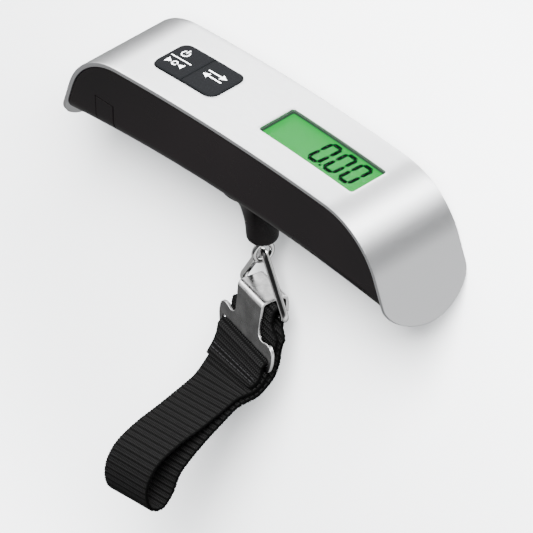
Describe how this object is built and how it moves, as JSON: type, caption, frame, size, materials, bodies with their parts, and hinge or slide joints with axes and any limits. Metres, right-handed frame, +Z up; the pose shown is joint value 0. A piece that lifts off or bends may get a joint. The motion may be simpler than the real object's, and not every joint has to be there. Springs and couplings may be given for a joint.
{
  "type": "luggage scale",
  "caption": "Handheld digital luggage scale: arched silver grip with keys and LCD, black tray with neck, swivelling eye, wire ring, hook plate and webbing loop.",
  "frame": {"origin": "middle of the flat crown on top of the cover", "axes": "+X along the grip towards the display, -Y the front side with the battery-door tab, +Z up; the strap hangs down along -Z"},
  "size_m": [0.14, 0.0645, 0.1267],
  "materials": {
    "silver_cover": "satin silver coating",
    "black_plastic": "satin to gloss black",
    "key_black": "matte black",
    "switch_red": "matte",
    "lens_clear": "clear",
    "lcd_green": "lit green",
    "white_plastic": "matte white",
    "zebra_rubber": "soft",
    "board_green": "solder mask",
    "epoxy_black": "gloss",
    "screw_steel": "plated",
    "cell_alloy": "machined",
    "gauge_foil": "foil",
    "contact_brass": "plated",
    "wire_red": "insulated",
    "wire_black": "insulated",
    "wire_white": "insulated",
    "wire_green": "insulated",
    "chrome_steel": "polished plating",
    "webbing_black": "woven ribbed webbing"
  },
  "bodies": {
    "case": {"top_cover": "silver_cover", "body_shell": "black_plastic", "power_switch": "black_plastic", "unit_switch": "black_plastic", "lcd_lens": "lens_clear", "lcd_frame": "white_plastic", "lcd_glass": "lcd_green", "lcd_backlight": "lcd_green", "lcd_connector": "zebra_rubber", "main_pcb": "board_green", "controller_chip": "epoxy_black", "pcb_screw_1": "screw_steel", "pcb_screw_2": "screw_steel", "load_cell": "cell_alloy", "load_cell_screw_1": "screw_steel", "load_cell_screw_2": "screw_steel", "strain_gauge": "gauge_foil", "gauge_wire_1": "wire_red", "gauge_wire_2": "wire_black", "gauge_wire_3": "wire_white", "gauge_wire_4": "wire_green", "battery": "screw_steel", "battery_holder": "black_plastic", "battery_contact_neg": "contact_brass", "battery_contact_pos": "contact_brass", "battery_wire_pos": "wire_red", "battery_wire_neg": "wire_black", "case_screw_1": "screw_steel", "case_screw_2": "screw_steel", "case_screw_3": "screw_steel", "case_screw_4": "screw_steel", "eye_washer": "screw_steel"},
    "power_key": {"power_button": "key_black", "power_plunger": "switch_red"},
    "unit_key": {"unit_button": "key_black", "unit_plunger": "switch_red"},
    "door": {"battery_door": "black_plastic"},
    "eye": {"eye_bolt": "chrome_steel", "eye_nut": "screw_steel"},
    "ring": {"wire_ring": "chrome_steel"},
    "strap_loop": {"strap": "webbing_black", "hook_plate": "chrome_steel"}
  },
  "joints": [
    {"name": "power_press", "type": "slide", "parent": "case", "child": "power_key", "axis": [0, 0, -1], "range_m": [0, 0.0004]},
    {"name": "unit_press", "type": "slide", "parent": "case", "child": "unit_key", "axis": [0, 0, -1], "range_m": [0, 0.0004]},
    {"name": "door_hinge", "type": "hinge", "parent": "case", "child": "door", "pos_m": [-0.0486, 0.0099, -0.02385], "axis": [0.9956, 0, 0.0933], "range_deg": [0, 60]},
    {"name": "eye_swivel", "type": "hinge", "parent": "case", "child": "eye", "pos_m": [0, 0, -0.044], "axis": [0, 0, 1], "continuous": true},
    {"name": "ring_swing", "type": "hinge", "parent": "eye", "child": "ring", "pos_m": [0, 0, -0.0503], "axis": [0.9781, -0.2079, 0], "range_deg": [-20, 20]},
    {"name": "strap_swing", "type": "hinge", "parent": "ring", "child": "strap_loop", "pos_m": [0, 0, -0.0675], "axis": [0.9781, -0.2079, 0], "range_deg": [-40, 15]}
  ]
}
